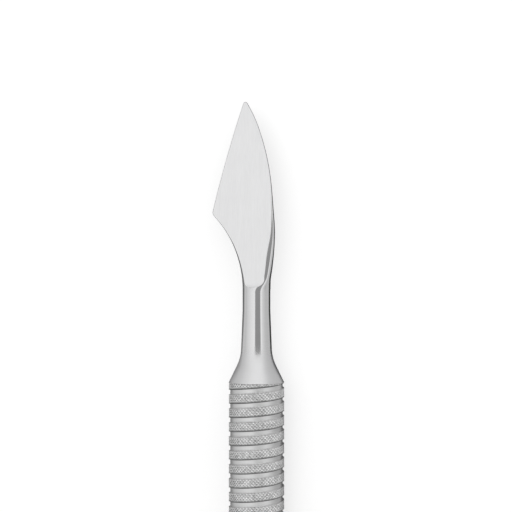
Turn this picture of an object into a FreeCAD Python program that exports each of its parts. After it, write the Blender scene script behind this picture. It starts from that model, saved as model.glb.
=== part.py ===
"""Double-ended cuticle pusher of stainless steel, built as a hollow handle with two fitted working ends.

The handle is a tube with a helical groove cut through its two grip bands and a plain land at mid
length. Each working end is one forged and ground piece: a tang pressed into the tube's bore, a cone,
a round neck, and a blade or a spoon. A ring of braze seals each joint inside the tube's mouth.

Frame, in millimetres: X runs along the handle's axis towards the blade's point, Z is up and faces
away from the blade's ground face, and the origin is on the axis at the middle of the handle.
A working end is built from the tube's end face at X = 0 outwards along +X, and then put in place.
"""

import math
import os

import FreeCAD, Part

from FreeCAD import Vector

# ---- driving dimensions ------------------------------------------------------------------------
HANDLE_LENGTH = 75.0
HANDLE_RADIUS = 3.25            # over the grip bands and the plain land
BORE_RADIUS = 2.25
MOUTH_CHAMFER = 0.4             # at each end of the bore, where the braze lies

GROOVE_PITCH = 1.625            # one right-handed start
GROOVE_DEPTH = 0.2
GROOVE_MOUTH = 0.62             # width at the grip bands' surface
GROOVE_FLOOR = 0.34
GROOVE_LEAD_IN = 0.29           # from the tube's end to the groove's middle, at GROOVE_ANGLE
GROOVE_ANGLE = 108.0            # degrees about X, from +Z towards -Y
LAND_LENGTH = 17.0
RELIEF_WIDTH = 1.0              # ring groove in which the helical groove runs out
RELIEF_DEPTH = 0.25

CONE_BLEND_START = (1.9, 2.32)  # distance from the end face, radius
CONE_BLEND_MIDDLE = (2.85, 1.955)
NECK_START = (3.9, 1.79)
NECK_WAIST = (8.4, 1.615)
NECK_RADIUS = 1.615
NECK_END = 12.0                 # inside the forged body, which grows out of the neck before this
TANG_LENGTH = 14.0
TANG_CHAMFER = 0.5

BODY_START = 10.2               # inside the neck
BODY_START_RADIUS = 1.55
BODY_HALF_HEIGHT = 1.65
BODY_CLEARANCE = 1.85           # more than BODY_HALF_HEIGHT, where only the oval section shapes it
BLADE_WIDENING = 0.045          # growth of the bar's half width, times the distance squared
BLADE_SHIFT = 0.012             # the same for its middle, which moves aside
BLADE_CORNER = (19.62, 5.39)    # distance from the end face, distance aside of the axis
BLADE_CORNER_ROUND = 0.6
BLADE_POINT = (33.19, 1.71)
BLADE_POINT_ROUND = 0.25
BLADE_EDGE_BULGE = 0.17         # the straight-looking edge is slightly convex
BLADE_BACK_TURN = (22.4, -2.07)  # the convex side's tighter arc ends here
BLADE_HOLLOW_START = 11.0       # where the concave side leaves the neck's width
FACE_SLOPE = math.radians(5.0)
FACE_SHOULDER = (11.0, 12.0)    # the ground face rises to the neck's top between these
FACE_HEIGHT = 1.185             # above the axis at the shoulder's foot
BLADE_TIP_THICKNESS = 0.3

SPOON_LENGTH = 32.13
SPOON_HALF_WIDTH = 2.75
SPOON_WIDENING = 0.03
SPOON_FULL_WIDTH = 21.5         # where it has widened
SPOON_TIP_START = 29.4          # where the rounded tip springs from the sides
SCOOP_RADIUS = 6.5              # hollow across the spoon's upper face
SCOOP_DEPTH = 0.42
SCOOP_START = 14.5

EXTRA = 1.0                     # how far cutters run past what they cut
CUTTER_RISE = 0.5               # how far the groove's cutter stands out of the handle
REACH = 12.0                    # more than any working end's width


# ---- drawing helpers ---------------------------------------------------------------------------
def plan(along, aside):
    """A point in the plane of the axis and the working ends' width."""
    return Vector(along, aside, 0)


def side(along, up):
    """A point in the plane of the axis and the working ends' thickness."""
    return Vector(along, 0, up)


def line(a, b):
    return Part.LineSegment(a, b).toShape()


def arc(a, middle, b):
    return Part.Arc(a, middle, b).toShape()


def bulged(a, b, rise):
    """An arc in plan from a to b that stands rise to the left of the straight way."""
    chord = b.sub(a)
    left = Vector(-chord.y, chord.x, 0).normalize()
    return arc(a, a.add(b).multiply(0.5).add(left.multiply(rise)), b)


def leaving_along_x(a, b):
    """An arc in plan from a to b that leaves a along the X axis."""
    run, shift = b.x - a.x, b.y - a.y
    turn = 2 * math.atan2(abs(shift), abs(run))
    radius = abs(run) / math.sin(turn)
    half = turn / 2
    across = math.copysign(radius * (1 - math.cos(half)), shift)
    return arc(a, a.add(plan(math.copysign(radius * math.sin(half), run), across)), b)


def chain(points):
    """Straight edges from each point to the next."""
    return [line(a, b) for a, b in zip(points, points[1:])]


def revolved(edges):
    """A closed outline in plan, turned once about the X axis."""
    return Part.Face(Part.Wire(edges)).revolve(Vector(0, 0, 0), Vector(1, 0, 0), 360)


def prism(edges, direction):
    """A closed outline carried both ways along a direction."""
    face = Part.Face(Part.Wire(edges))
    face.translate(Vector(direction).multiply(-1))
    return face.extrude(Vector(direction).multiply(2))


# ---- handle tube -------------------------------------------------------------------------------
def groove_cutter():
    """The helical groove's cutter for the half towards the blade, from the relief groove outwards."""
    start = (LAND_LENGTH + RELIEF_WIDTH) / 2
    run = HANDLE_LENGTH / 2 - GROOVE_LEAD_IN - start
    helix = Part.makeHelix(GROOVE_PITCH, run + GROOVE_PITCH, HANDLE_RADIUS)
    flare = (GROOVE_MOUTH - GROOVE_FLOOR) / 2 / GROOVE_DEPTH
    half_floor = GROOVE_FLOOR / 2
    half_top = half_floor + flare * (GROOVE_DEPTH + CUTTER_RISE)
    floor, top = HANDLE_RADIUS - GROOVE_DEPTH, HANDLE_RADIUS + CUTTER_RISE
    corners = [Vector(floor, 0, -half_floor), Vector(top, 0, -half_top),
               Vector(top, 0, half_top), Vector(floor, 0, half_floor)]
    profile = Part.makePolygon([*corners, corners[0]])
    cutter = Part.Wire(helix.Edges).makePipeShell([profile], True, True)
    # Its own Z becomes X, and it is turned so that the groove passes GROOVE_ANGLE at the lead-in.
    cutter.rotate(Vector(0, 0, 0), Vector(0, 0, 1), 180 + GROOVE_ANGLE - run / GROOVE_PITCH * 360)
    cutter.rotate(Vector(0, 0, 0), Vector(0, 1, 0), 90)
    cutter.translate(Vector(start, 0, 0))
    return cutter


def grip_band():
    """The tube's stretch with the grip band towards the blade, from the relief groove to the mouth."""
    start, end = LAND_LENGTH / 2 + RELIEF_WIDTH, HANDLE_LENGTH / 2
    corners = [plan(start, BORE_RADIUS), plan(start, HANDLE_RADIUS), plan(end, HANDLE_RADIUS),
               plan(end, BORE_RADIUS + MOUTH_CHAMFER), plan(end - MOUTH_CHAMFER, BORE_RADIUS)]
    return revolved(chain([*corners, corners[0]])).cut(groove_cutter())


def tube_middle():
    """The tube's stretch with the plain land, to the far side of the relief groove at each end."""
    land, end = LAND_LENGTH / 2, LAND_LENGTH / 2 + RELIEF_WIDTH
    floor = HANDLE_RADIUS - RELIEF_DEPTH
    corners = [plan(-end, BORE_RADIUS), plan(-end, floor), plan(-land, floor),
               plan(-land, HANDLE_RADIUS), plan(land, HANDLE_RADIUS), plan(land, floor),
               plan(end, floor), plan(end, BORE_RADIUS)]
    return revolved(chain([*corners, corners[0]]))


def handle_tube():
    """Tube with a chamfered mouth at each end, two grooved grip bands and a plain land."""
    band = grip_band()
    return tube_middle().fuse([band, band.rotated(Vector(0, 0, 0), Vector(0, 0, 1), 180)])


def braze_ring():
    """Braze that fills the tube's chamfered mouth round a tang, sealing the bore."""
    corners = [plan(0, BORE_RADIUS), plan(0, BORE_RADIUS + MOUTH_CHAMFER), plan(-MOUTH_CHAMFER, BORE_RADIUS)]
    return revolved(chain([*corners, corners[0]]))


# ---- working ends ------------------------------------------------------------------------------
def tang_cone_and_neck():
    """The round part that both working ends share."""
    neck = plan(*NECK_WAIST)
    return revolved([
        *chain([
            plan(NECK_END, 0),
            plan(-TANG_LENGTH, 0),
            plan(-TANG_LENGTH, BORE_RADIUS - TANG_CHAMFER),
            plan(-TANG_LENGTH + TANG_CHAMFER, BORE_RADIUS),
            plan(0, BORE_RADIUS),
            plan(0, HANDLE_RADIUS),
            plan(*CONE_BLEND_START),
        ]),
        arc(plan(*CONE_BLEND_START), plan(*CONE_BLEND_MIDDLE), plan(*NECK_START)),
        line(plan(*NECK_START), neck),
        line(neck, plan(NECK_END, NECK_RADIUS)),
        line(plan(NECK_END, NECK_RADIUS), plan(NECK_END, 0)),
    ])


def oval(along, aside, half_width, half_height):
    """A closed ellipse across the axis, its middle shifted aside."""
    major = Vector(0, max(half_width, half_height + 1e-4), 0)
    middle = Vector(along, aside, 0)
    curve = Part.Ellipse(middle.add(major), middle.add(Vector(0, 0, half_height)), middle)
    return Part.Wire(curve.toShape())


def opening_bar(length, widening, shift):
    """The bar's section, round in the neck and opening out into a wide oval that may shift aside."""
    steps = 9
    distances = [1.3 * step for step in range(steps)] + [length]
    ovals = [oval(BODY_START + distance, shift * distance ** 2,
                  BODY_START_RADIUS + widening * distance ** 2,
                  BODY_HALF_HEIGHT if distance else BODY_START_RADIUS) for distance in distances]
    return Part.makeLoft(ovals, True, True)


def face_height(along):
    """Height of the blade's ground face above the axis."""
    return FACE_HEIGHT - math.tan(FACE_SLOPE) * (along - FACE_SHOULDER[1])


def blade_outline():
    """The blade in plan: a concave side, a long slanting edge, the point and a convex side."""
    neck_near, neck_far = plan(BODY_START, NECK_RADIUS), plan(BODY_START, -NECK_RADIUS)
    hollow = plan(BLADE_HOLLOW_START, NECK_RADIUS)
    corner, tip, turn = plan(*BLADE_CORNER), plan(*BLADE_POINT), plan(*BLADE_BACK_TURN)
    waist = plan(13.5, -2.03)
    return [
        line(neck_near, hollow),
        leaving_along_x(hollow, corner),
        bulged(corner, tip, BLADE_EDGE_BULGE),
        arc(tip, plan(28.0, -0.78), turn),
        arc(turn, plan(18.0, -2.35), waist),
        arc(waist, plan(11.8, -1.73), neck_far),
        line(neck_far, neck_near),
    ]


def rounded_upright_edges(solid, rounds):
    """Rounds the upright edges nearest the given places in plan, each (place, radius)."""
    for (along, aside), radius in rounds:
        upright = [e for e in solid.Edges if abs(e.tangentAt(e.FirstParameter).z) > 0.99]
        near = min(upright, key=lambda e: math.hypot(e.CenterOfMass.x - along, e.CenterOfMass.y - aside))
        solid = solid.makeFillet(radius, [near])
    return solid


def blade_end():
    """The working end with the blade."""
    tip = BLADE_POINT[0] + EXTRA
    shoulder_start, shoulder_end = FACE_SHOULDER
    outline = prism(blade_outline(), Vector(0, 0, REACH))
    outline = rounded_upright_edges(outline, [(BLADE_CORNER, BLADE_CORNER_ROUND),
                                              (BLADE_POINT, BLADE_POINT_ROUND)])
    back_tip, back_waist = side(tip, face_height(tip) - BLADE_TIP_THICKNESS), side(21.0, -0.42)
    back_start, top_start = side(12.4, -BODY_CLEARANCE), side(BODY_START, BODY_CLEARANCE)
    profile = prism([
        line(top_start, side(tip, BODY_CLEARANCE)),
        line(side(tip, BODY_CLEARANCE), back_tip),
        arc(back_tip, side(27.0, -0.56), back_waist),
        arc(back_waist, side(17.6, -0.97), back_start),
        line(back_start, side(BODY_START, -BODY_CLEARANCE)),
        line(side(BODY_START, -BODY_CLEARANCE), top_start),
    ], Vector(0, REACH, 0))
    bar = opening_bar(tip - BODY_START, BLADE_WIDENING, BLADE_SHIFT)
    body = outline.common(profile).common(bar)
    foot = side(shoulder_end, FACE_HEIGHT)
    top = side(shoulder_start, NECK_RADIUS + 0.01)
    face_end = side(tip + EXTRA, face_height(tip + EXTRA))
    ground_away = prism([
        arc(top, side(11.34, 1.352), foot),
        line(foot, face_end),
        line(face_end, side(tip + EXTRA, REACH)),
        line(side(tip + EXTRA, REACH), side(shoulder_start, REACH)),
        line(side(shoulder_start, REACH), top),
    ], Vector(0, REACH, 0))
    return tang_cone_and_neck().fuse(body).cut(ground_away).removeSplitter()


def spoon_side(sign):
    """One side of the spoon in plan, from the neck to where the rounded tip springs."""
    neck, wide = plan(BODY_START, sign * NECK_RADIUS), plan(SPOON_FULL_WIDTH, sign * SPOON_HALF_WIDTH)
    middle = neck.add(wide).multiply(0.5)
    return [leaving_along_x(neck, middle), leaving_along_x(wide, middle),
            line(wide, plan(SPOON_TIP_START, sign * SPOON_HALF_WIDTH))]


def pusher_end():
    """The working end with the spoon."""
    past = SPOON_LENGTH + EXTRA
    springs = [plan(SPOON_TIP_START, sign * SPOON_HALF_WIDTH) for sign in (1, -1)]
    outline = prism([
        *spoon_side(1),
        arc(springs[0], plan(SPOON_LENGTH, 0), springs[1]),
        *reversed(spoon_side(-1)),
        line(plan(BODY_START, -NECK_RADIUS), plan(BODY_START, NECK_RADIUS)),
    ], Vector(0, 0, REACH))
    top_start, top_end = side(11.6, BODY_CLEARANCE), side(past, -1.17)
    back_start, back_end = side(12.4, -BODY_CLEARANCE), side(past, -1.75)
    profile = prism([
        line(side(BODY_START, BODY_CLEARANCE), top_start),
        arc(top_start, side(22.0, 0.25), top_end),
        line(top_end, back_end),
        arc(back_end, side(21.5, -0.98), back_start),
        line(back_start, side(BODY_START, -BODY_CLEARANCE)),
        line(side(BODY_START, -BODY_CLEARANCE), side(BODY_START, BODY_CLEARANCE)),
    ], Vector(0, REACH, 0))
    bar = opening_bar(past - BODY_START, SPOON_WIDENING, 0)
    body = outline.common(profile).common(bar)
    scoop_from, scoop_to = side(SCOOP_START, 1.29), side(SPOON_LENGTH, -1.06 - SCOOP_DEPTH)
    along = scoop_to.sub(scoop_from)
    lift = Vector(-along.z, 0, along.x).normalize().multiply(SCOOP_RADIUS)
    scoop = Part.makeCylinder(SCOOP_RADIUS, along.Length + EXTRA, scoop_from.add(lift), along)
    return tang_cone_and_neck().fuse(body).cut(scoop).removeSplitter()


def at_blade_end(shape):
    """Moves a shape from the working ends' own place to the handle's end towards the blade."""
    shape.translate(Vector(HANDLE_LENGTH / 2, 0, 0))
    return shape


def at_pusher_end(shape):
    """Turns a shape round and moves it to the handle's other end."""
    shape.rotate(Vector(0, 0, 0), Vector(0, 0, 1), 180)
    shape.translate(Vector(-HANDLE_LENGTH / 2, 0, 0))
    return shape


def main():
    nodes = {
        "handle_tube": handle_tube(),
        "blade_end": at_blade_end(blade_end()),
        "pusher_end": at_pusher_end(pusher_end()),
        "blade_end_braze_ring": at_blade_end(braze_ring()),
        "pusher_end_braze_ring": at_pusher_end(braze_ring()),
    }
    os.makedirs("parts", exist_ok=True)
    for name, shape in nodes.items():
        box = shape.optimalBoundingBox(False)
        print(f"{name}: valid {shape.isValid()}, {len(shape.Solids)} solid, {shape.Volume:.1f} mm3, "
              f"X {box.XMin:.2f} to {box.XMax:.2f}, Y {box.YMin:.2f} to {box.YMax:.2f}, "
              f"Z {box.ZMin:.2f} to {box.ZMax:.2f}")
        shape.exportStep(f"parts/{name}.step")


main()
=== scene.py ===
"""A steel cuticle tool lying face up on a pale table, inside a white reflector arch.

The handle is a tube with knurled grip bands between the turns of a helical groove. A flat blade with a
slanting edge grows out of the round neck at one end, and a scooped spoon at the other.

Lengths in the classes are millimetres and become metres when a mesh is made. In a working end, "along"
is the distance from the handle's end face, "aside" is across the tool and "up" is above its axis.
"""

import logging
import math
from dataclasses import dataclass
from enum import Enum
from typing import Any, Iterable

import bmesh
import bpy
import numpy as np
from mathutils import Matrix, Vector


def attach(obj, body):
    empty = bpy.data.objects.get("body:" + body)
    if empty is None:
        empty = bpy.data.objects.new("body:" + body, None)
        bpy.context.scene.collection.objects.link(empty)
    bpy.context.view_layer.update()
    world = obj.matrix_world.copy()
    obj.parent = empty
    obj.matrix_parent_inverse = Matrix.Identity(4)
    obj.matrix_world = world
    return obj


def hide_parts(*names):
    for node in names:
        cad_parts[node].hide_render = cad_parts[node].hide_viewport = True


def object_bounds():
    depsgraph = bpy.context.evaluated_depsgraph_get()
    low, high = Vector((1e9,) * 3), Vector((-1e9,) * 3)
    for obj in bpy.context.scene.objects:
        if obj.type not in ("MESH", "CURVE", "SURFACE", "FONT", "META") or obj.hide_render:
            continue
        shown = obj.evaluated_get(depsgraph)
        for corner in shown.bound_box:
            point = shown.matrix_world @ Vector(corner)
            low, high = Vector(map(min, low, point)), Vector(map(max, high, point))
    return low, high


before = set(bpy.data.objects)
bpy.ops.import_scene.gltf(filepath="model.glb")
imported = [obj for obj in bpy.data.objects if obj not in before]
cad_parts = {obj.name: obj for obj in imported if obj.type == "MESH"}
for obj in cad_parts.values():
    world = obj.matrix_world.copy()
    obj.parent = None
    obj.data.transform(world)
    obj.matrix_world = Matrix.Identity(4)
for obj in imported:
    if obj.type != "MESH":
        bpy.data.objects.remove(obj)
cad_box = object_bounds()

MM = 0.001
BODY = "root"
SHARP_ANGLE = math.radians(28)  # edges that turn more than this are creases
FAR = 9.0  # a height clear of every part of the tool
LOG = logging.getLogger("cuticle_tool")
Array = np.ndarray
Rings = tuple[Array, Array]
Pair = tuple[float, float]
Triple = tuple[float, float, float]
Material = bpy.types.Material
Object = bpy.types.Object


class End(Enum):
    """Which end of the handle a working end sits in, as the sign of X there."""

    BLADE = 1
    SPOON = -1


class Finish(Enum):
    """Place of each finish in a working end's list of materials."""

    POLISHED = 0
    GROUND = 1


# ---- numbers and curves --------------------------------------------------------------------------
def eased(value: Array, start: float, end: float) -> Array:
    """Smooth step: t * t * (3 - 2 t) of the share t of the way from start to end."""
    share = np.clip((value - start) / (end - start), 0, 1)
    return share * share * (3 - 2 * share)


def mixed(low: Array | float, high: Array | float, share: Array | float) -> Array:
    """Straight mix of two values, low at share 0 and high at share 1."""
    return low * (1 - share) + high * share


def lesser(first: Array, second: Array, blend: float) -> Array:
    """Smaller of two curves with a rounded corner: min - (blend - gap)^2 / (4 blend) while gap < blend."""
    near = np.maximum(blend - np.abs(first - second), 0)
    return np.minimum(first, second) - near * near / (4 * blend)


def part_of_circle(along: Array, middle: Pair, radius: float, side: int) -> Array:
    """Upper (side 1) or lower (-1) half of a circle: middle + side * sqrt(radius^2 - (along - middle)^2)."""
    return middle[1] + side * np.sqrt(np.clip(radius ** 2 - (along - middle[0]) ** 2, 0, None))


def closing_share(along: Array, tip: float, stretch: float) -> Array:
    """Quarter circle that closes a tip: sqrt(1 - x^2), with x from 0 to 1 over the last stretch."""
    through = np.clip((along - tip + stretch) / stretch, 0, 1)
    return np.sqrt(1 - through ** 2)


def towards(start: Rings, end: Rings, count: int) -> Rings:
    """Points straight from one edge towards another at even steps, without the far edge itself."""
    share = np.arange(count)[None, :] / count
    return tuple(mixed(a[:, None], b[:, None], share) for a, b in zip(start, end))


def crowded(start: float, end: float, count: int) -> Array:
    """Places that crowd towards the end: start + (end - start) sin(angle), for even steps of the angle."""
    return start + (end - start) * np.sin(np.linspace(0, math.pi / 2, count))


@dataclass(frozen=True)
class Spline:
    """A curve through a few knots with an unbroken bend, straight at its ends."""

    knots: tuple[Pair, ...]

    def __call__(self, at: Array) -> Array:
        """Natural cubic spline: neighbouring pieces share their slope and their second derivative.

        Args:
            at: Places along the curve.

        Returns:
            The curve's height at each place, level beyond the outer knots.
        """
        x, y = np.array(self.knots).T
        gap = np.diff(x)
        inner = np.arange(1, len(x) - 1)
        system = np.eye(len(x))
        system[inner, inner - 1] = gap[:-1]
        system[inner, inner] = 2 * (gap[:-1] + gap[1:])
        system[inner, inner + 1] = gap[1:]
        target = np.zeros(len(x))
        target[1:-1] = 6 * np.diff(np.diff(y) / gap)
        bend = np.linalg.solve(system, target)
        at = np.clip(at, x[0], x[-1])
        piece = np.clip(np.searchsorted(x, at, side="right") - 1, 0, len(x) - 2)
        to_end = (x[piece + 1] - at) / gap[piece]
        from_start = 1 - to_end
        sag = (to_end ** 3 - to_end) * bend[piece] + (from_start ** 3 - from_start) * bend[piece + 1]
        return to_end * y[piece] + from_start * y[piece + 1] + sag * gap[piece] ** 2 / 6


# ---- meshes --------------------------------------------------------------------------------------
@dataclass
class Shell:
    """A surface being put together: rows of along, aside and up, and faces as rows of point numbers.

    Each face has its material's number. Each point has the number of the crease that it lies on, 0 for
    none, and its depth below the crests as a share of the knurl's depth.
    """

    points: Array
    faces: Array | list[list[int]]
    finish: Array | None = None
    line: Array | None = None
    relief: Array | None = None

    def __post_init__(self) -> None:
        """Fills in zeros for what isn't given."""
        for part, of in (("finish", self.faces), ("line", self.points), ("relief", self.points)):
            if getattr(self, part) is None:
                setattr(self, part, np.zeros(len(of)))

    def half_turn(self) -> "Shell":
        """The same shell turned by half a turn about the upright axis."""
        return Shell(self.points * (-1, -1, 1), self.faces, self.finish, self.line, self.relief)

    @staticmethod
    def joined(shells: Iterable["Shell"]) -> "Shell":
        """Puts several shells into one, side by side.

        Args:
            shells: What to put together.

        Returns:
            One shell with all their points and faces.
        """
        shells = list(shells)
        starts = np.cumsum([0] + [len(s.points) for s in shells[:-1]]).tolist()
        faces = [[start + k for k in face] for s, start in zip(shells, starts) for face in s.faces]
        points, finish, line, relief = (np.concatenate([getattr(s, part) for s in shells])
                                        for part in ("points", "finish", "line", "relief"))
        return Shell(points, faces, finish, line, relief)

    def made(self, name: str, materials: list[Material], weld: float = 2e-4) -> Object:
        """Welds the shell into a closed mesh object with its faces outwards and its creases sharp.

        Args:
            name: The object's name.
            materials: One for each finish number.
            weld: Points nearer than this are one.

        Returns:
            The object, at the origin.
        """
        mesh = bpy.data.meshes.new(name)
        mesh.from_pydata((self.points * MM).tolist(), [], [list(map(int, face)) for face in self.faces])
        for material in materials:
            mesh.materials.append(material)
        mesh.polygons.foreach_set("material_index", self.finish.astype(np.int32))
        for part, kind, values in (("line", "INT", self.line.astype(np.int32)),
                                   ("relief", "FLOAT", self.relief.astype(np.float32))):
            mesh.attributes.new(part, kind, "POINT").data.foreach_set("value", values)
        work = bmesh.new()
        work.from_mesh(mesh)
        bmesh.ops.remove_doubles(work, verts=work.verts, dist=weld * MM)
        bmesh.ops.recalc_face_normals(work, faces=work.faces)
        open_edges = sum(not e.is_manifold for e in work.edges)
        if work.calc_volume(signed=True) < 0:
            bmesh.ops.reverse_faces(work, faces=work.faces)
        work.to_mesh(mesh)
        LOG.info("%s: %d faces, %d open edges, %.1f mm3", name, len(mesh.polygons), open_edges,
                 work.calc_volume() / MM ** 3)
        work.free()
        mesh.shade_smooth()
        mesh.set_sharp_from_angle(angle=SHARP_ANGLE)
        self.sharpen_lines(mesh)
        piece = bpy.data.objects.new(name, mesh)
        bpy.context.scene.collection.objects.link(piece)
        return piece

    @staticmethod
    def sharpen_lines(mesh: bpy.types.Mesh) -> None:
        """Makes each edge sharp whose two ends lie on the same crease.

        Args:
            mesh: Mesh with the crease numbers in its "line" attribute.
        """
        line = np.zeros(len(mesh.vertices), np.int32)
        mesh.attributes["line"].data.foreach_get("value", line)
        ends = np.zeros(len(mesh.edges) * 2, np.int32)
        mesh.edges.foreach_get("vertices", ends)
        sharp = np.zeros(len(mesh.edges), bool)
        mesh.edges.foreach_get("use_edge_sharp", sharp)
        first, second = line[ends.reshape(-1, 2)].T
        mesh.edges.foreach_set("use_edge_sharp", sharp | ((first == second) & (first > 0)))


def ring_quads(rows: int, columns: int, climb: int = 0) -> Array:
    """Quads between neighbouring rings of a grid that closes round on itself.

    A quad joins (row, column), (row, column + 1), (row + 1, column + 1) and (row + 1, column). The
    column after the last one is the first, climbed by some rows where the rings are a helix.

    Args:
        rows: Number of rings.
        columns: Points in each.
        climb: Rows that the helix climbs in a turn.

    Returns:
        Rows of four point numbers.
    """
    row, column = (k.ravel() for k in np.mgrid[0:rows - 1 - climb, 0:columns])
    last = column == columns - 1
    beside = np.where(last, climb * columns, 0) + np.where(last, 0, column + 1)
    return np.stack([row * columns + column, row * columns + beside,
                     (row + 1) * columns + beside, (row + 1) * columns + column], axis=1)


# ---- shader sums ---------------------------------------------------------------------------------
class Wire:
    """A shader value that takes part in Python sums."""

    def __init__(self, sheet: "Sheet", socket: bpy.types.NodeSocket) -> None:
        """Remembers the socket and the sheet that it is on."""
        self.sheet, self.socket = sheet, socket

    def sum(self, operation: str, *values: "Wire | float") -> "Wire":
        """One Math node's result."""
        return self.sheet.add("ShaderNodeMath", {"operation": operation}, dict(enumerate(values)))

    def __add__(self, other: "Wire | float") -> "Wire":
        """The sum."""
        return self.sum("ADD", self, other)

    def __sub__(self, other: "Wire | float") -> "Wire":
        """The difference."""
        return self.sum("SUBTRACT", self, other)

    def __rsub__(self, other: "Wire | float") -> "Wire":
        """The difference from a number."""
        return self.sum("SUBTRACT", other, self)

    def __mul__(self, other: "Wire | float") -> "Wire":
        """The product."""
        return self.sum("MULTIPLY", self, other)

    def __truediv__(self, other: "Wire | float") -> "Wire":
        """The quotient."""
        return self.sum("DIVIDE", self, other)

    __radd__, __rmul__ = __add__, __mul__

    def clamped(self) -> "Wire":
        """The value held between 0 and 1."""
        return self.sum("MINIMUM", self.sum("MAXIMUM", self, 0.0), 1.0)

    def rising(self, start: float, end: float) -> "Wire":
        """0 up to start, 1 from end and straight between."""
        return ((self - start) / (end - start)).clamped()


class Sheet:
    """A material's or a world's node tree."""

    def __init__(self, tree: bpy.types.NodeTree) -> None:
        """Empties the tree."""
        self.tree = tree
        tree.nodes.clear()

    def add(self, kind: str, settings: dict[str, Any] | None = None,
            sockets: dict[str | int, Any] | None = None, output: str | int = 0) -> Wire:
        """Adds a node.

        Args:
            kind: The node's type.
            settings: Its own settings, set first; "stops" are a ramp's positions and grey tones.
            sockets: Values or wires for its inputs.
            output: The output to hand back.

        Returns:
            That output, or the first input of a node that has no outputs.
        """
        node = self.tree.nodes.new(kind)
        for name, value in (settings or {}).items():
            if name == "stops":
                self.set_stops(node.color_ramp, value)
            else:
                setattr(node, name, value)
        for key, value in (sockets or {}).items():
            if isinstance(value, Wire):
                self.tree.links.new(value.socket, node.inputs[key])
            else:
                node.inputs[key].default_value = value
        return Wire(self, node.outputs[output] if len(node.outputs) else node.inputs[0])

    @staticmethod
    def set_stops(ramp: bpy.types.ColorRamp, stops: list[Pair]) -> None:
        """Fills a ramp with grey stops.

        Args:
            ramp: The ramp.
            stops: Position and tone of each.
        """
        while len(ramp.elements) < len(stops):
            ramp.elements.new(1.0)
        for element, (position, tone) in zip(ramp.elements, stops):
            element.position = position
            element.color = (tone, tone, tone, 1)

    def parts_of(self, vector: Wire) -> tuple[Wire, Wire, Wire]:
        """The three numbers of a vector."""
        node = self.add("ShaderNodeSeparateXYZ", {}, {0: vector}).socket.node
        return tuple(Wire(self, output) for output in node.outputs)

    def stretched(self, vector: Wire, scale: Triple) -> Wire:
        """A vector multiplied number by number."""
        return self.add("ShaderNodeVectorMath", {"operation": "MULTIPLY"}, {0: vector, 1: scale})

    def place(self) -> Wire:
        """Where a point lies in its object, in metres."""
        return self.add("ShaderNodeTexCoord", output="Object")

    def noise(self, vector: Wire, scale: float, detail: float, rough: float) -> Wire:
        """Noise of a scale, from 0 to 1."""
        return self.add("ShaderNodeTexNoise", {}, {"Vector": vector, "Scale": scale, "Detail": detail,
                                                   "Roughness": rough})

    def bump(self, height: Wire, strength: float, distance: float) -> Wire:
        """The normal of a surface raised by a height, its distance in millimetres."""
        return self.add("ShaderNodeBump", {}, {"Strength": strength, "Distance": distance * MM,
                                               "Height": height})

    def grey(self, tone: Wire, tint: Triple) -> Wire:
        """A tint scaled by a tone, as a colour."""
        return self.add("ShaderNodeMix", {"data_type": "RGBA"}, {0: tone, 6: (0, 0, 0, 1), 7: (*tint, 1)}, 2)

    def glow(self, strength: Wire, kind: str = "ShaderNodeEmission") -> Wire:
        """White light of a strength."""
        return self.add(kind, {}, {"Color": (1, 1, 1, 1), "Strength": strength})

    def surface(self, shader: Wire, kind: str = "ShaderNodeOutputMaterial") -> None:
        """Joins a shader to the tree's output."""
        self.add(kind, {}, {"Surface": shader})

    def metal(self, tone: Wire, tint: Triple, rough: Wire, bump: Wire) -> None:
        """Joins bare metal to the tree's output.

        Args:
            tone: How bright it is.
            tint: Its colour at tone 1.
            rough: How dull it is.
            bump: Its normal.
        """
        colour = self.grey(tone, tint)
        self.surface(self.add("ShaderNodeBsdfPrincipled", {}, {
            "Base Color": colour, "Metallic": 1.0, "Roughness": rough.clamped(), "Normal": bump}))


def new_material(name: str) -> tuple[Material, Sheet]:
    """A material with an empty node tree.

    Args:
        name: The material's name.

    Returns:
        The material and its sheet.
    """
    material = bpy.data.materials.new(name)
    material.use_nodes = True
    return material, Sheet(material.node_tree)


# ---- finishes ------------------------------------------------------------------------------------
@dataclass(frozen=True)
class LinedSteel:
    """Bare steel with fine lines: a polish that runs round the work, or a grind that runs along it."""

    name: str
    tint: Triple
    roughness: float
    roughness_swing: float
    tone_swing: float
    lines: Triple
    line_depth: float
    satin_by_handle: float = 0.0
    line_scale: float = 1000.0
    broad_share: float = 0.22
    haze: float = 0.03
    haze_scale: float = 420.0
    pit_scale: float = 5200.0
    pit_dulling: float = 0.06
    satin_span: Pair = (40.4, 42.2)

    def material(self) -> Material:
        """Metal whose tone, roughness and normal follow noise stretched into lines, with soft hazy patches.

        Returns:
            The material.
        """
        material, sheet = new_material(self.name)
        place = sheet.place()
        fine = sheet.noise(sheet.stretched(place, self.lines), self.line_scale, 3.0, 0.65)
        wider = tuple(self.broad_share * k for k in self.lines)
        broad = sheet.noise(sheet.stretched(place, wider), self.line_scale, 2.0, 0.5)
        haze = sheet.noise(place, self.haze_scale, 3.0, 0.55)
        pits = sheet.noise(place, self.pit_scale, 1.0, 0.5).rising(0.70, 0.80)
        lines = 0.6 * fine + 0.4 * broad
        tone = 1 - self.tone_swing * (1 - lines.rising(0.32, 0.68)) - self.haze * haze
        rough = self.roughness + self.roughness_swing * (lines - 0.5) + self.haze * (haze - 0.5)
        rough = rough + self.pit_dulling * pits
        if self.satin_by_handle:
            along = sheet.parts_of(place)[0]
            start, end = (k * MM for k in self.satin_span)
            rough = rough + self.satin_by_handle * (1 - along.sum("ABSOLUTE", along).rising(start, end))
        sheet.metal(tone, self.tint, rough, sheet.bump(lines, 1.0, self.line_depth))
        return material


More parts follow.
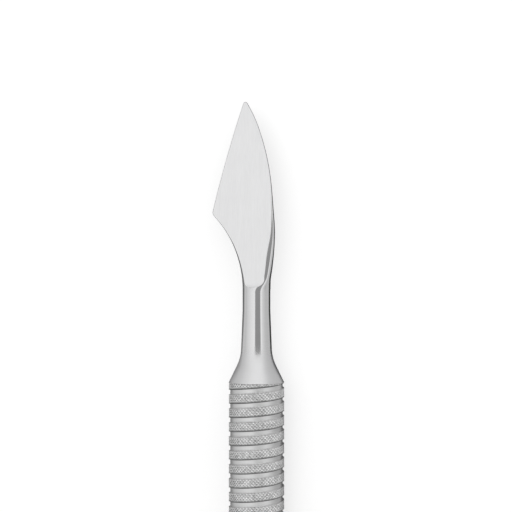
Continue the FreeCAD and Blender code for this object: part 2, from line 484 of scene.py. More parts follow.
@dataclass(frozen=True)
class KnurledSteel:
    """Rolled and cut steel: burnished crests, dull valleys darkened with painted shade, a painted dark line
    at the groove's corner, and random grime flecks.

    The relief attribute is 0 on a crest and 1 in a valley. Above 1 it marks the groove, and at 2 its corner.
    """

    name: str = "knurled steel"
    tint: Triple = (1.0, 1.0, 1.0)
    crest_roughness: float = 0.12
    valley_roughness: float = 0.26
    groove_dulling: float = 0.14
    # painted shade: the valley and corner tones darken the knurl's valleys and the groove's corner
    valley_shade_tone: float = 0.72
    groove_tone: float = 0.84
    corner_shade_tone: float = 0.22
    turned_tone: float = 0.06
    turned_dulling: float = 0.12
    turned_depth: float = 0.004
    fleck_tone: float = 0.22
    fleck_share: float = 0.25

    def material(self) -> Material:
        """Metal that dulls and darkens with the relief attribute, with turning marks round the axis. The
        darkening of the valleys and of the groove's corner is painted shade.

        Returns:
            The material.
        """
        material, sheet = new_material(self.name)
        place = sheet.place()
        relief = sheet.add("ShaderNodeAttribute", {"attribute_name": "relief"}, {}, "Fac")
        turned = sheet.noise(sheet.stretched(place, (9.0, 0.35, 0.35)), 1000.0, 2.0, 0.6)
        patches = sheet.noise(place, 900.0, 3.0, 0.6)
        flecks = sheet.noise(place, 2300.0, 2.0, 0.6).rising(0.44, 0.62) - self.fleck_share
        depth = relief.rising(0.1, 0.9) * (0.55 + 0.6 * patches).clamped()
        groove, corner = relief.rising(1.02, 1.2), relief.rising(1.4, 1.9)
        # painted shade: the valleys darken with their depth, and the groove's corner becomes a dark line
        # where its step would be in shade
        tone = 1 - (1 - self.valley_shade_tone) * depth * (1 - groove) - (1 - self.groove_tone) * groove
        tone = tone - (self.groove_tone - self.corner_shade_tone) * corner - self.turned_tone * turned
        tone = tone - self.fleck_tone * flecks * relief.rising(0.0, 0.1) * (1 - groove)
        rough = self.crest_roughness + (self.valley_roughness - self.crest_roughness) * depth
        rough = rough + self.groove_dulling * groove + self.turned_dulling * (turned - 0.5)
        sheet.metal(tone, self.tint, rough, sheet.bump(turned, 0.6, self.turned_depth))
        return material


@dataclass(frozen=True)
class BrazeFinish:
    """Pale silver braze with the shallow ripples of a metal that froze where it lay."""

    name: str = "silver braze"
    tint: Triple = (0.78, 0.74, 0.62)
    roughness: float = 0.32
    swing: float = 0.2
    ripple_depth: float = 0.02

    def material(self) -> Material:
        """Metal with a rippled normal and a tone that drifts.

        Returns:
            The material.
        """
        material, sheet = new_material(self.name)
        place = sheet.place()
        ripple = sheet.noise(place, 2600.0, 2.0, 0.5)
        drift = sheet.noise(place, 700.0, 3.0, 0.6)
        rough = self.roughness + self.swing * (drift - 0.5)
        sheet.metal(1 - self.swing * drift, self.tint, rough, sheet.bump(ripple, 0.7, self.ripple_depth))
        return material


POLISHED = LinedSteel("polished steel", (0.80, 0.80, 0.805), 0.09, 0.05, 0.03, (6.0, 0.5, 0.5), 0.0012,
                      satin_by_handle=0.26)
GROUND = LinedSteel("ground steel", (0.89, 0.89, 0.895), 0.30, 0.12, 0.07, (0.25, 9.0, 9.0), 0.002)


# ---- handle --------------------------------------------------------------------------------------
@dataclass
class KnurledHandle:
    """The tube: two grip bands of knurl between the turns of a helical groove, and a plain land."""

    length: float = 75.0
    radius: float = 3.25
    bore_radius: float = 2.25
    mouth_chamfer: float = 0.4
    land_length: float = 17.0
    relief_width: float = 1.0
    relief_radius: float = 3.0
    edge_break: float = 0.06
    pitch: float = 1.625
    groove_depth: float = 0.2
    groove_half_mouth: float = 0.31
    groove_half_floor: float = 0.21
    groove_lead_in: float = 0.29
    groove_angle: float = 108.0
    knurl_depth: float = 0.1
    knurl_unevenness: float = 0.03
    knurl_rows: int = 5
    groove_relief: float = 1.25
    corner_relief: float = 2.0
    foot_width: float = 0.05
    foot_height: float = 0.045
    columns: int = 96
    turns: int = 18
    spare_turns: int = 3
    wear_seed: int = 7

    def levels(self) -> tuple[Array, Array, Array]:
        """Rows of the helical grid over one pitch, from the groove's near edge to the next groove.

        Returns:
            Each row's place from the groove's middle, and its radius on even and on odd columns.
        """
        edge, floor = self.groove_half_mouth, self.groove_half_floor
        foot = floor + self.foot_width
        band = (self.pitch - 2 * edge) / self.knurl_rows * np.arange(self.knurl_rows)
        places = np.concatenate([[-edge, -foot, -floor, 0, floor, foot], edge + band])
        bottom = self.radius - self.groove_depth
        groove = np.array([bottom + self.foot_height, bottom, bottom, bottom, bottom + self.foot_height])
        crest = np.arange(self.knurl_rows) % 2
        low = self.radius - self.knurl_depth
        even = np.concatenate([[self.radius], groove, low + self.knurl_depth * crest])
        odd = np.concatenate([[low], groove, low + self.knurl_depth * (1 - crest)])
        return places, even, odd

    def surface_radius(self, along: Array, column: Array) -> Array:
        """Radius at a place: its column's row profile, at (along - the groove's middle) mod pitch.

        Args:
            along: Distance from the tube's middle.
            column: Which column each place lies on.

        Returns:
            The radius at each place.
        """
        places, *profiles = self.levels()
        start = places[0]
        from_groove = (along - self.groove_middle(column) - start) % self.pitch + start
        table = np.append(places, start + self.pitch)
        even, odd = (np.interp(from_groove, table, np.append(k, k[0])) for k in profiles)
        return np.where(column % 2 == 0, even, odd)

    def groove_middle(self, column: Array) -> Array:
        """Where the groove's last turn crosses a column: one pitch further along for each turn."""
        turn = column / self.columns - self.groove_angle / 360
        return self.length / 2 - self.groove_lead_in + self.pitch * turn

    def placed(self, along: Array, column: Array, radius: Array) -> Array:
        """Points on the tube: aside = -radius sin(angle), up = radius cos(angle).

        Args:
            along: Distance from the tube's middle.
            column: Which column each point lies on, an even share of a turn from the next.
            radius: Distance from the axis.

        Returns:
            Rows of along, aside and up.
        """
        angle = 2 * math.pi * column / self.columns
        along, angle, radius = np.broadcast_arrays(along, angle, radius)
        return np.stack([along, -radius * np.sin(angle), radius * np.cos(angle)], axis=-1).reshape(-1, 3)

    def grip_band(self) -> Shell:
        """Helical grid from the relief groove to the mouth; rows past either end are pressed onto it.

        Returns:
            The band's outer surface.
        """
        places = self.levels()[0]
        per_turn, groove_rows = len(places), len(places) - self.knurl_rows
        row = np.arange((self.turns + self.spare_turns) * per_turn)[:, None]
        column = np.arange(self.columns)[None, :]
        in_turn, turn = row % per_turn, row // per_turn - self.turns
        start, end = self.land_length / 2 + self.relief_width, self.length / 2
        along = np.clip(self.groove_middle(column) + places[in_turn] + self.pitch * turn, start, end)
        radius = self.surface_radius(along, np.broadcast_to(column, along.shape))
        worn = self.knurl_unevenness * np.random.default_rng(self.wear_seed).random(radius.shape)
        radius = radius - np.where((in_turn > groove_rows) & (along > start) & (along < end), worn, 0)
        relief = (self.radius - radius) / self.knurl_depth
        relief = np.where(in_turn < groove_rows, self.groove_relief, relief)
        # the groove's corner rows, which the knurled steel paints dark as shade
        corner = (in_turn == groove_rows - 1) | (in_turn == groove_rows)
        relief = np.where(corner, self.corner_relief, relief)
        a, b, c, d = ring_quads(len(row), self.columns, per_turn).T
        valley_first = (a % self.columns + a // self.columns % per_turn - groove_rows) % 2 == 0
        first = np.where(valley_first, [a, b, c], [a, b, d]).T
        second = np.where(valley_first, [a, c, d], [b, c, d]).T
        return Shell(self.placed(along, column, radius), np.concatenate([first, second]),
                     relief=relief.ravel())

    def rings(self, profile: list[tuple[float, float | Array]]) -> Shell:
        """Surface of revolution through (along, radius) pairs; a radius may differ from column to column.

        Args:
            profile: The pairs, in order.

        Returns:
            The surface.
        """
        column = np.arange(self.columns)
        points = [self.placed(np.float64(along), column, np.asarray(radius, float))
                  for along, radius in profile]
        return Shell(np.concatenate(points), ring_quads(len(profile), self.columns))

    def half(self) -> Shell:
        """The tube from its middle to the mouth towards the blade.

        Returns:
            The half's surface, open at its middle.
        """
        column = np.arange(self.columns)
        land, end, bore = self.land_length / 2, self.length / 2, self.bore_radius
        relief_end = land + self.relief_width
        outside = [(along, self.radius) for along in np.linspace(0, land - self.edge_break, 9)]
        outside += [(land, self.radius - self.edge_break), (land, self.relief_radius),
                    (relief_end, self.relief_radius),
                    (relief_end, self.surface_radius(np.full(self.columns, relief_end), column))]
        mouth = [(end, self.surface_radius(np.full(self.columns, end), column)),
                 (end, bore + self.mouth_chamfer), (end - self.mouth_chamfer, bore)]
        inside = [(along, bore) for along in np.linspace(end - self.mouth_chamfer, 0, 8)[1:]]
        return Shell.joined([self.rings(outside), self.grip_band(), self.rings(mouth + inside)])

    def build(self) -> Object:
        """Joins two halves, one of them given half a turn, and dresses the tube.

        Returns:
            The handle.
        """
        half = self.half()
        shell = Shell.joined([half, half.half_turn()])
        piece = shell.made("knurled_handle", [KnurledSteel().material()])
        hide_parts("handle_tube")
        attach(piece, BODY)
        return piece


# ---- working ends --------------------------------------------------------------------------------
@dataclass
class Quarter:
    """One quarter of a section, a superellipse from a level end to an upright side, ring by ring."""

    level_aside: Array
    side_aside: Array
    level_up: Array
    side_up: Array
    power: Array

    def points(self, turn: Array) -> Rings:
        """Aside runs out by sin(turn)^(2 / power), and up falls to the side by cos(turn)^(2 / power).

        Args:
            turn: From 0 at the level end to 1 at the side, as a share of a right angle; ring by column.

        Returns:
            Aside and up, ring by column.
        """
        angle = np.clip(turn, 0, 1) * math.pi / 2
        power = 2 / self.power[:, None]
        out = np.sin(angle) ** power
        down = np.clip(np.cos(angle), 0, 1) ** power
        return (mixed(self.level_aside[:, None], self.side_aside[:, None], out),
                mixed(self.side_up[:, None], self.level_up[:, None], down))

    def turn_at(self, height: Array) -> Array:
        """Where the quarter passes a height: cos(turn) = ((height - side) / (level - side))^(power / 2)."""
        share = np.clip((height - self.side_up) / (self.level_up - self.side_up), 0, 1)
        return np.arccos(share ** (self.power / 2)) / (math.pi / 2)


Quarters = tuple[Quarter, Quarter, Quarter, Quarter]


@dataclass(frozen=True)
class Stem:
    """The tang, flange, cone and neck that both working ends share."""

    tang_length: float = 14.0
    tang_chamfer: float = 0.5
    tang_radius: float = 2.25
    flange_radius: float = 3.25
    edge_break: float = 0.05
    cone_end: Pair = (1.9, 2.32)
    neck_start: Pair = (3.9, 1.79)
    waist: Pair = (8.4, 1.615)
    neck_end: float = 10.2

    def radius(self, along: Array) -> Array:
        """Straight cone, then a cubic that leaves it and meets the neck's taper smoothly, then a plain rod.

        Args:
            along: Distances from the handle's end face, from 0.

        Returns:
            The radius at each.
        """
        (a, cone), (b, neck), (c, rod) = self.cone_end, self.neck_start, self.waist
        cone_slope, taper = (cone - self.flange_radius) / a, (rod - neck) / (c - b)
        t = np.clip((along - a) / (b - a), 0, 1)
        rise = t * t * (3 - 2 * t)
        blend = mixed(cone, neck, rise) + (b - a) * (t * (1 - t) ** 2 * cone_slope - t * t * (1 - t) * taper)
        tapered = neck + taper * (np.minimum(along, c) - b)
        return np.where(along < a, self.flange_radius + cone_slope * along,
                        np.where(along < b, blend, tapered))

    def hidden(self) -> Rings:
        """Rings inside the tube, from the tang's end to the flange.

        Returns:
            Each ring's distance from the handle's end face, and its radius.
        """
        end, tang = -self.tang_length, self.tang_radius
        return (np.array([end, end, end + self.tang_chamfer, end / 2, 0, 0]),
                np.array([0, tang - self.tang_chamfer, tang, tang, tang,
                          self.flange_radius - 1.5 * self.edge_break]))

    def stations(self) -> Array:
        """Distances of the rings from the flange to the neck's end, closest where the cone ends.

        Returns:
            The distances.
        """
        return np.concatenate([[self.edge_break], np.linspace(0.2, self.cone_end[0], 8),
                               np.linspace(2.0, self.neck_start[0], 16), np.linspace(4.2, self.neck_end, 20)])


@dataclass
class WorkingEnd:
    """One forged and ground end, as rings of points from its tang to its tip."""

    end: End
    name: str
    node: str
    stem: Stem
    quarter_columns: int = 24
    top_columns: int = 6
    bottom_columns: int = 2
    handle_length: float = 75.0
    ground_from: float = 0.0

    def stations(self) -> Array:
        """Distances of the rings from the handle's end face."""
        raise NotImplementedError

    def quarters(self, along: Array) -> Quarters:
        """Right top, right bottom, left bottom and left top of the section at each distance."""
        raise NotImplementedError

    def ground_height(self, along: Array) -> Array:
        """Height at which the top is ground level: nowhere, unless a kind of end says so."""
        return np.full(len(along), FAR)

    def top(self, along: Array, right: Rings, left: Rings) -> Rings:
        """Points across the top from the left edge to the right one, straight unless an end says more."""
        return towards(left, right, self.top_columns)

    def section(self, along: Array) -> tuple[Array, Array, Array]:
        """Goes round each ring: across the top, down the right, across the bottom, up the left.

        Args:
            along: The rings' distances.

        Returns:
            Aside and up, ring by column, and the crease number of each column.
        """
        right_top, right_bottom, left_bottom, left_top = self.quarters(along)
        ground = self.ground_height(along)
        step = np.arange(self.quarter_columns)[None, :] / self.quarter_columns
        steps = np.broadcast_to(step, (len(along), self.quarter_columns))
        upper = (right_top, left_top)
        cuts = [quarter.turn_at(ground)[:, None] for quarter in upper]
        edges = [tuple(k[:, 0] for k in quarter.points(cut)) for quarter, cut in zip(upper, cuts)]
        ends = [(quarter.level_aside, quarter.level_up) for quarter in (right_bottom, left_bottom)]
        parts = [
            self.top(along, *edges),
            right_top.points(mixed(cuts[0], 1, step)),
            right_bottom.points(1 - steps),
            towards(*ends, self.bottom_columns),
            left_bottom.points(steps),
            left_top.points(mixed(1, cuts[1], step)),
        ]
        aside, up = (np.concatenate(k, 1) for k in zip(*parts))
        line = np.zeros(aside.shape[1], int)
        line[0], line[self.top_columns] = 1, 2
        return aside, up, line

    def round_section(self, radii: Array) -> Rings:
        """Circles with as many points as the other rings, crowded as they are.

        Args:
            radii: One for each ring.

        Returns:
            Aside and up, ring by column.
        """
        quarter = Quarter(0 * radii, -radii, radii, 0 * radii, np.full(len(radii), 2.0))
        step = np.arange(self.quarter_columns)[None, :] / self.quarter_columns
        (out, up), (back_out, back_up) = quarter.points(step), quarter.points(1 - step)
        top = np.zeros((len(radii), self.top_columns))
        low = np.zeros((len(radii), self.bottom_columns))
        return (np.concatenate([top, out, back_out, low, -out, -back_out], 1),
                np.concatenate([top + radii[:, None], up, -back_up, low - radii[:, None], -up, back_up], 1))

    def build(self, materials: list[Material]) -> Object:
        """Joins the round rings and the shaped ones into one closed surface.

        Args:
            materials: Polished and ground steel.

        Returns:
            The working end.
        """
        along = self.stations()
        aside, up, line = self.section(along)
        hidden, radii = self.stem.hidden()
        round_aside, round_up = self.round_section(radii)
        along = np.concatenate([hidden, along])
        aside, up = np.concatenate([round_aside, aside]), np.concatenate([round_up, up])
        rows, columns = aside.shape
        sign = self.end.value
        points = np.stack([sign * (self.handle_length / 2 + np.broadcast_to(along[:, None], aside.shape)),
                           sign * aside, up], axis=-1).reshape(-1, 3)
        quads = ring_quads(rows, columns)
        ring, column = quads[:, 0] // columns, quads[:, 0] % columns
        is_ground = along > self.ground_from
        finish = np.where((column < self.top_columns) & is_ground[ring], Finish.GROUND.value,
                          Finish.POLISHED.value)
        lines = np.where(is_ground[:, None], line[None, :], 0).ravel()
        piece = Shell(points, quads, finish, lines).made(self.name, materials)
        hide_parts(self.node)
        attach(piece, BODY)
        return piece


@dataclass
class Blade(WorkingEnd):
    """A flat blade: a concave side, a slanting edge from the corner to the point, and a convex side."""

    start: float = 11.0
    ground_from: float = 11.06
    shaped_span: Pair = (10.6, 12.4)
    left_span: Pair = (11.0, 17.5)
    corner: Pair = (19.62, 5.385)
    point: Pair = (33.19, 1.71)
    point_round: float = 0.25
    point_round_middle: Pair = (32.58, 1.638)
    crowded_from: float = 32.3
    concave_radius: float = 11.76
    edge_bulge: float = 0.17
    corner_blend: float = 0.38
    face_slope: float = math.tan(math.radians(5.0))
    face_height: float = 1.185
    face_height_at: float = 12.0
    shoulder_end: float = 11.865
    shoulder_radius: float = 1.314
    closing: float = 0.15
    convex_side: Spline = Spline((
        (10.6, -1.615), (11.8, -1.75), (13.1, -1.95), (14.5, -2.12), (17.3, -2.29), (20.3, -2.09),
        (23.4, -1.77), (26.4, -1.18), (29.2, -0.31), (31.4, 0.65), (33.19, 1.71)))
    flank: Spline = Spline((
        (12.4, 1.0), (14.4, 0.97), (15.8, 0.83), (16.7, 0.64), (17.8, 0.467), (19.5, 0.29), (22.4, 0.17),
        (33.2, 0.1)))
    least_flank: float = 0.08
    flank_reach: float = 2.1
    flank_fall: float = 0.62
    flank_crown: float = 0.08
    bevels: Pair = (1.0, 0.5)
    bevel_reach: float = 0.34
    bevel_fall: float = 0.52
    bevel_crown: float = 0.06
    most_reach: float = 0.45
    under_reaches: Pair = (0.5, 0.16)
    back: Spline = Spline((
        (10.2, -1.615), (12.6, -1.615), (14.0, -1.58), (15.5, -1.37), (17.8, -0.93), (19.8, -0.52),
        (22.4, -0.37), (25.2, -0.48), (28.0, -0.64), (33.2, -0.97)))

    @property
    def tip(self) -> float:
        """Distance of the rounded point."""
        return self.point_round_middle[0] + self.point_round

    def stations(self) -> Array:
        """Rings close together where the shape turns quickly, and crowded towards the tip.

        Returns:
            Their distances.
        """
        return np.concatenate([
            self.stem.stations(), np.arange(10.3, 12.6, 0.04), np.arange(12.6, 19.0, 0.12),
            np.arange(19.0, 20.5, 0.05), np.arange(20.5, self.crowded_from - 0.1, 0.15),
            crowded(self.crowded_from, self.tip, 26)])

    def face(self, along: Array | float) -> Array | float:
        """Height of the ground face, which falls at its slope."""
        return self.face_height - self.face_slope * (along - self.face_height_at)

    def ground_height(self, along: Array) -> Array:
        """The face, and before it a concave shoulder, tangent to it, that climbs to the neck's top.

        Args:
            along: The rings' distances.

        Returns:
            The height at each.
        """
        angle, radius = math.atan(self.face_slope), self.shoulder_radius
        middle = (self.shoulder_end + radius * math.sin(angle),
                  self.face(self.shoulder_end) + radius * math.cos(angle))
        shoulder = part_of_circle(along, middle, radius, -1)
        shoulder = np.where(along < middle[0] - 0.95 * radius, FAR, shoulder)
        return np.where(along < self.shoulder_end, shoulder, self.face(along))

    def left_side(self, along: Array) -> Array:
        """The concave arc and the slanting edge with a rounded corner between them, then the tip's round.

        The edge is a chord with a bulge: chord + 4 bulge t (1 - t), with t the share of the way along it.

        Args:
            along: The rings' distances.

        Returns:
            The side's distance from the axis at each.
        """
        neck, arc_end = self.stem.waist[1], self.start + self.concave_radius
        arc = part_of_circle(along, (self.start, neck + self.concave_radius), self.concave_radius, -1)
        arc = np.where(along < self.start, neck, arc)
        share = (along - self.corner[0]) / (self.point[0] - self.corner[0])
        edge = mixed(self.corner[1], self.point[1], share) + 4 * self.edge_bulge * share * (1 - share)
        side = np.where(along > arc_end, edge, lesser(arc, edge, self.corner_blend))
        round_tip = part_of_circle(along, self.point_round_middle, self.point_round, 1)
        return np.where(along > self.point_round_middle[0] + 0.07, np.minimum(side, round_tip), side)

    def right_side(self, along: Array) -> Array:
        """The convex side, then the tip's round.

        Args:
            along: The rings' distances.

        Returns:
            The side's distance from the axis at each, below 0.
        """
        side = self.convex_side(along)
        round_tip = part_of_circle(along, self.point_round_middle, self.point_round, -1)
        return np.where(along > self.point_round_middle[0] + 0.1, np.maximum(side, round_tip), side)

    def quarters(self, along: Array) -> Quarters:
        """Round in the neck; the blade's own flanks and back are mixed in between two distances.

        Args:
            along: The rings' distances.

        Returns:
            The four quarters.
        """
        rod = self.stem.radius(along)
        shaped, near = eased(along, *self.shaped_span), eased(along, *self.left_span)
        right = np.where(along < self.shaped_span[0], -rod, self.right_side(along))
        left = np.where(along < self.start, rod, self.left_side(along))
        wide = left - right
        ground = np.where(along < self.face_height_at, self.face_height, self.face(along))
        flank = np.clip(self.flank(along), self.least_flank, 1)
        bevel = mixed(*self.bevels, eased(along, 16, 22))
        round_end = closing_share(along, self.tip, self.closing)
        back = self.back(along)
        middle = (ground + back) / 2

        def closing_up(height: Array) -> Array:
            """A height drawn towards the middle of the thickness at the very tip."""
            return middle + (height - middle) * round_end

        def blended(round_value: Array | float, blade_value: Array | float) -> Array:
            """Round value in the neck, blade value beyond."""
            return mixed(round_value, blade_value, shaped)

        right_reach = np.minimum(self.flank_reach * flank, self.most_reach * wide)
        left_reach = np.minimum(self.bevel_reach * bevel, self.most_reach * wide)
        under = mixed(*self.under_reaches, eased(along, 14, 21)) * wide
        low = blended(-rod, closing_up(back))
        right_up = blended(0, closing_up(ground - self.flank_fall * flank))
        left_up = mixed(0, closing_up(ground - self.bevel_fall * bevel), near)
        right_top = blended(rod, closing_up(ground + self.flank_crown * flank))
        left_top = mixed(rod, closing_up(ground + self.bevel_crown * bevel), near)
        return (
            Quarter(blended(0, right + right_reach), right, right_top, right_up, blended(2, 3)),
            Quarter(blended(0, right + under), right, low, right_up, mixed(2, 3.5, eased(along, 15, 22))),
            Quarter(mixed(0, left - 0.5 * wide, near), left, low, left_up, mixed(2, 1.8, near)),
            Quarter(mixed(0, left - left_reach, near), left, left_top, left_up, np.full(len(along), 2.0)),
        )


@dataclass
class Spoon(WorkingEnd):
    """A scooped spoon with a rounded tip."""

    top_columns: int = 36
    start: float = 10.2
    ground_from: float = 14.5
    full_width_at: float = 21.5
    half_width: float = 2.75
    tip_middle: float = 29.377
    crowded_from: float = 30.6
    scoop_radius: float = 6.5
    scoop_start: Pair = (14.5, 1.29)
    scoop_end: Pair = (32.13, -1.48)
    rim_columns: int = 4
    closing: float = 0.3
    shaped_span: Pair = (12.0, 20.0)
    side_reach: float = 0.4
    keel: float = 0.75
    blend: float = 0.15
    upper: Spline = Spline(((11.6, 1.85), (22.0, 0.25), (33.13, -1.17)))
    under: Spline = Spline(((12.4, -1.85), (16.8, -1.25), (21.5, -0.98), (27.3, -1.18), (33.13, -1.75)))

    @property
    def tip(self) -> float:
        """Distance of the rounded tip."""
        return self.tip_middle + self.half_width

    def stations(self) -> Array:
        """Rings at even steps, crowded towards the tip.

        Returns:
            Their distances.
        """
        return np.concatenate([self.stem.stations(), np.arange(10.3, self.crowded_from - 0.1, 0.12),
                               crowded(self.crowded_from, self.tip, 40)])

    def thickness(self, along: Array) -> Rings:
        """Upper and lower height of the body, held inside the rod's radius with rounded corners.

        Args:
            along: The rings' distances.

        Returns:
            The upper and the lower height at each.
        """
        rod = self.stem.radius(along)
        upper = np.where(along < self.upper.knots[0][0], FAR, self.upper(along))
        under = np.where(along < self.under.knots[0][0], -FAR, self.under(along))
        return lesser(rod, upper, self.blend), -lesser(rod, -under, self.blend)

    def quarters(self, along: Array) -> Quarters:
        """Round in the neck; the spoon's flat top and rounded sides are mixed in as it widens.

        Args:
            along: The rings' distances.

        Returns:
            The four quarters.
        """
        rod = self.stem.radius(along)
        widening = mixed(rod, self.half_width, eased(along, self.start, self.full_width_at))
        round_tip = part_of_circle(along, (self.tip_middle, 0), self.half_width, 1)
        half = np.where(along < self.start, rod, np.where(along > self.tip_middle, round_tip, widening))
        upper, under = self.thickness(along)
        middle = (upper + under) / 2
        round_end = closing_share(along, self.tip, self.closing)
        upper, under = (middle + (k - middle) * round_end for k in (upper, under))
        shaped = eased(along, *self.shaped_span)
        reach = mixed(half, np.minimum(self.side_reach, self.side_reach * half), shaped)
        side_up = mixed(0, mixed(upper, under, 0.35), shaped)
        power = mixed(2.0, 2.3, shaped)
        keel = mixed(half, self.keel * half, shaped)
        return (
            Quarter(reach - half, -half, upper, side_up, power),
            Quarter(keel - half, -half, under, side_up, power),
            Quarter(half - keel, half, under, side_up, power),
            Quarter(half - reach, half, upper, side_up, power),
        )

    def top(self, along: Array, right: Rings, left: Rings) -> Rings:
        """The scoop's trough between its two rims, and a level rim outside them.

        The height is the top or, if lower, line along the spoon + radius - sqrt(radius^2 - aside^2).

        Args:
            along: The rings' distances.
            right: Aside and up of the right edge.
            left: The same of the left edge.

        Returns:
            Aside and up, ring by column.
        """
        (a, start), (b, end) = self.scoop_start, self.scoop_end
        lowest = mixed(start, end, (along - a) / (b - a))
        depth = np.clip(left[1] - lowest, 0, self.scoop_radius)
        rim = np.sqrt(self.scoop_radius ** 2 - (self.scoop_radius - depth) ** 2)
        rim = np.minimum(np.where(along < a, 0, rim), 0.98 * left[0])
        outer, inner = self.rim_columns, self.top_columns - 2 * self.rim_columns + 1
        share = np.concatenate([np.ones(outer), np.linspace(1, -1, inner), -np.ones(outer - 1)])
        beyond = np.concatenate([np.arange(outer, 0, -1), np.zeros(inner), -np.arange(1, outer)]) / outer
        spread = rim[:, None] * share + (left[0] - rim)[:, None] * beyond
        trough = lowest[:, None] + self.scoop_radius - np.sqrt(self.scoop_radius ** 2 - spread ** 2)
        return spread, np.minimum(left[1][:, None], trough)


# ---- studio --------------------------------------------------------------------------------------
@dataclass
class Studio:
    """A pale table, a white arch of reflectors over the tool with one dark card in it, and a sheet of painted
    shade that only reflections see, which gives the tool dark edges.
    """

    camera_lean: float = math.radians(18.0)
    camera_distance: float = 180.0
    camera_along: float = 52.24
    camera_aside: float = 0.06
    lens: float = 108.6
    sensor: float = 36.0
    clip_start: float = 0.01
    table_half: float = 1600.0
    table_tone: float = 0.6
    table_glow: float = 0.62
    arch_radius: float = 400.0
    arch_half_length: float = 1500.0
    arch_steps: int = 92
    arch_tones: tuple[Pair, ...] = (
        (-90, 0.66), (-75, 0.63), (-64, 0.72), (-53, 0.77), (-43, 0.82), (-34, 0.85), (-25, 0.91),
        (-16, 0.92), (-7, 0.955), (0, 0.97), (51, 1.0), (57, 0.97), (64, 0.82), (71, 0.77), (79, 0.70),
        (90, 0.64))
    dim_along: Pair = (-60.0, -260.0)
    dim_depth: float = 0.75
    dim_right: float = 0.62
    card_angles: Pair = (7.0, 50.0)
    card_along: Pair = (-35.0, 148.0)
    card_soft: float = 2.0
    card_fade: float = 18.0
    card_tone: float = 0.33
    edge_half_width: float = 400.0
    edge_gap: float = 0.02
    shade_card_tone: float = 0.05
    edge_left: Pair = (0.2, 0.4)
    edge_right: Pair = (0.53, 0.06)
    handle_reach: float = 14.0
    cone_reach: float = 8.0
    neck_reach: float = 18.0
    handle_edge_dimming: float = 0.3
    handle_edge_width: float = 0.5
    world_tone: float = 0.8

    @staticmethod
    def stage_mesh(name: str, points: Array, faces: Array, material: Material) -> Object:
        """A stage piece from points in millimetres.

        Args:
            name: Its name.
            points: Its corners.
            faces: Rows of point numbers.
            material: What it is made of.

        Returns:
            The piece.
        """
        mesh = bpy.data.meshes.new(name)
        mesh.from_pydata((points * MM).tolist(), [], faces.tolist())
        mesh.materials.append(material)
        piece = bpy.data.objects.new(name, mesh)
        bpy.context.scene.collection.objects.link(piece)
        return piece

    def level_sheet(self, name: str, half_width: float, half_length: float, up: float,
                    material: Material) -> Object:
        """A level rectangle about the tool.

        Args:
            name: Its name.
            half_width: Half its width.
            half_length: Half its length.
            up: Its height.
            material: What it is made of.

        Returns:
            The rectangle.
        """
        corners = np.array([(-half_length, -half_width, up), (half_length, -half_width, up),
                            (half_length, half_width, up), (-half_length, half_width, up)])
        return self.stage_mesh(name, corners, np.array([[0, 1, 2, 3]]), material)

    def table(self, up: float) -> None:
        """A pale table that camera and reflection rays see a little brighter, so that it reaches white.

        Args:
            up: Height of its top.
        """
        material, sheet = new_material("pale table")
        path = sheet.add("ShaderNodeLightPath", output="Is Camera Ray")
        seen = path.sum("MAXIMUM", path, Wire(sheet, path.socket.node.outputs["Is Glossy Ray"]))
        diffuse = sheet.add("ShaderNodeBsdfDiffuse", {}, {"Color": (*[self.table_tone] * 3, 1)})
        glow = sheet.glow(self.table_glow * seen)
        sheet.surface(sheet.add("ShaderNodeAddShader", {}, {0: diffuse, 1: glow}))
        self.level_sheet("table", self.table_half, self.table_half, up, material)

    def arch(self) -> None:
        """Half a cylinder about the tool whose glow follows the angle about the axis, with one dark card."""
        material, sheet = new_material("arch")
        along, aside, up = sheet.parts_of(sheet.place())
        angle = along.sum("ARCTAN2", 0 - aside, up) * (180 / math.pi)
        stops = [((a + 90) / 180, tone) for a, tone in self.arch_tones]
        tone = sheet.add("ShaderNodeValToRGB", {"stops": stops}, {0: (angle + 90) / 180})
        (first, last), soft = self.card_angles, self.card_soft
        (near, far), fade = self.card_along, self.card_fade
        in_turn = angle.rising(first - soft, first + soft) * (1 - angle.rising(last - soft, last + soft))
        in_run = along.rising((near - fade) * MM, (near + fade) * MM) * (
            1 - along.rising((far - fade) * MM, (far + fade) * MM))
        leftward = self.dim_right + (1 - self.dim_right) * aside.rising(-0.3, 0.3)
        dim_start, dim_end = self.dim_along
        tone = tone * (1 - self.dim_depth * leftward * along.rising(dim_start * MM, dim_end * MM))
        sheet.surface(sheet.glow(tone + (self.card_tone - tone) * (in_turn * in_run)))
        turn = np.radians(np.linspace(-92, 92, self.arch_steps + 1))
        across, upward = -self.arch_radius * np.sin(turn), self.arch_radius * np.cos(turn)
        near_row = np.stack([np.full(len(turn), -self.arch_half_length), across, upward], 1)
        k = np.arange(self.arch_steps)
        faces = np.stack([k, k + 1, k + len(turn) + 1, k + len(turn)], 1)
        points = np.concatenate([near_row, near_row * (-1, 1, 1)])
        self.stage_mesh("arch", points, faces, material).visible_camera = False

    def shade_reflection_card(self, up: float) -> None:
        """Painted shade: a dark sheet by the tool that only its reflections see, in place of the table's
        shadow beside the tool; its tone follows the distance aside.

        Args:
            up: Height of the sheet.
        """
        material, sheet = new_material("shade reflection card")
        along, aside, _ = sheet.parts_of(sheet.place())
        reach = self.handle_reach + (self.cone_reach - self.handle_reach) * along.rising(37 * MM, 38.5 * MM)
        reach = reach + (self.neck_reach - self.cone_reach) * along.rising(41 * MM, 50 * MM)
        past = aside / MM / reach
        bright = 1 - self.handle_edge_dimming * (1 - along.rising(33 * MM, 38 * MM))
        beside = 0 - aside - self.handle_edge_width * MM * (1 - along.rising(37 * MM, 38 * MM))
        (near_left, far_left), (near_right, far_right) = self.edge_left, self.edge_right
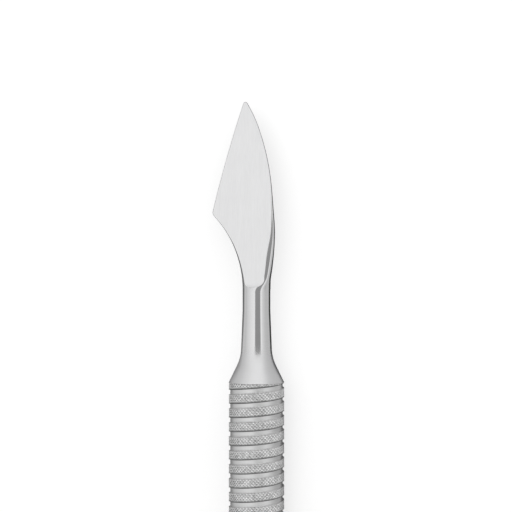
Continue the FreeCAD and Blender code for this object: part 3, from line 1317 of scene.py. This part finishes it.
        # painted shade: darkest next to the tool and lighter further aside, as the table's shadow would be in
        # the reflections
        tone = self.shade_card_tone + near_left * past.rising(0.0, 0.8) + far_left * past.rising(1.0, 2.0) * bright
        tone = tone + near_right * bright * beside.rising(4.1 * MM, 4.6 * MM)
        tone = tone + far_right * beside.rising(8 * MM, 60 * MM)
        sheet.surface(sheet.glow(tone))
        piece = self.level_sheet("shade_reflection_card", self.edge_half_width, self.arch_half_length, up, material)
        piece.visible_camera = piece.visible_diffuse = piece.visible_shadow = False
        piece.visible_transmission = False

    def world(self) -> None:
        """White past the arch's ends."""
        world = bpy.data.worlds.new("studio")
        world.use_nodes = True
        bpy.context.scene.world = world
        sheet = Sheet(world.node_tree)
        seen = sheet.add("ShaderNodeLightPath", output="Is Camera Ray")
        glow = sheet.glow(self.world_tone + (1 - self.world_tone) * seen, "ShaderNodeBackground")
        sheet.surface(glow, "ShaderNodeOutputWorld")

    def camera(self) -> None:
        """Looks down on the blade from a little to the right, with the tool's axis upright in view."""
        lean = self.camera_lean
        back = Vector((0, -math.sin(lean), math.cos(lean)))
        right, upward = Vector((0, -math.cos(lean), -math.sin(lean))), Vector((1, 0, 0))
        data = bpy.data.cameras.new("camera")
        data.lens, data.sensor_width, data.clip_start = self.lens, self.sensor, self.clip_start
        camera = bpy.data.objects.new("camera", data)
        bpy.context.scene.collection.objects.link(camera)
        turn = Matrix((right, upward, back)).transposed().to_4x4()
        place = Vector((self.camera_along, self.camera_aside, 0)) + back * self.camera_distance
        camera.matrix_world = Matrix.Translation(place * MM) @ turn
        bpy.context.scene.camera = camera

    def build(self, floor: float) -> None:
        """Sets everything up round the tool.

        Args:
            floor: Height of the tool's lowest point.
        """
        self.table(floor)
        self.shade_reflection_card(floor + self.edge_gap)
        self.arch()
        self.world()
        self.camera()
        bpy.context.scene.view_settings.view_transform = "Standard"


def dress_braze(nodes: dict[str, Object]) -> None:
    """Gives the two braze rings their finish.

    Args:
        nodes: The construction's nodes by name.
    """
    material = BrazeFinish().material()
    for name in ("blade_end_braze_ring", "pusher_end_braze_ring"):
        nodes[name].data.materials.clear()
        nodes[name].data.materials.append(material)
        LOG.info("%s: dressed", name)


def main() -> None:
    """Builds the tool from the handle outwards, then the studio."""
    logging.basicConfig(level=logging.INFO, format="%(message)s")
    stem = Stem()
    materials = [POLISHED.material(), GROUND.material()]
    KnurledHandle().build()
    Blade(End.BLADE, "blade_end_surface", "blade_end", stem).build(materials)
    Spoon(End.SPOON, "spoon_end_surface", "pusher_end", stem).build(materials)
    dress_braze(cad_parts)
    floor = min(corner[2] for corner in cad_box) / MM
    Studio().build(floor)


if __name__ == "__main__":
    main()
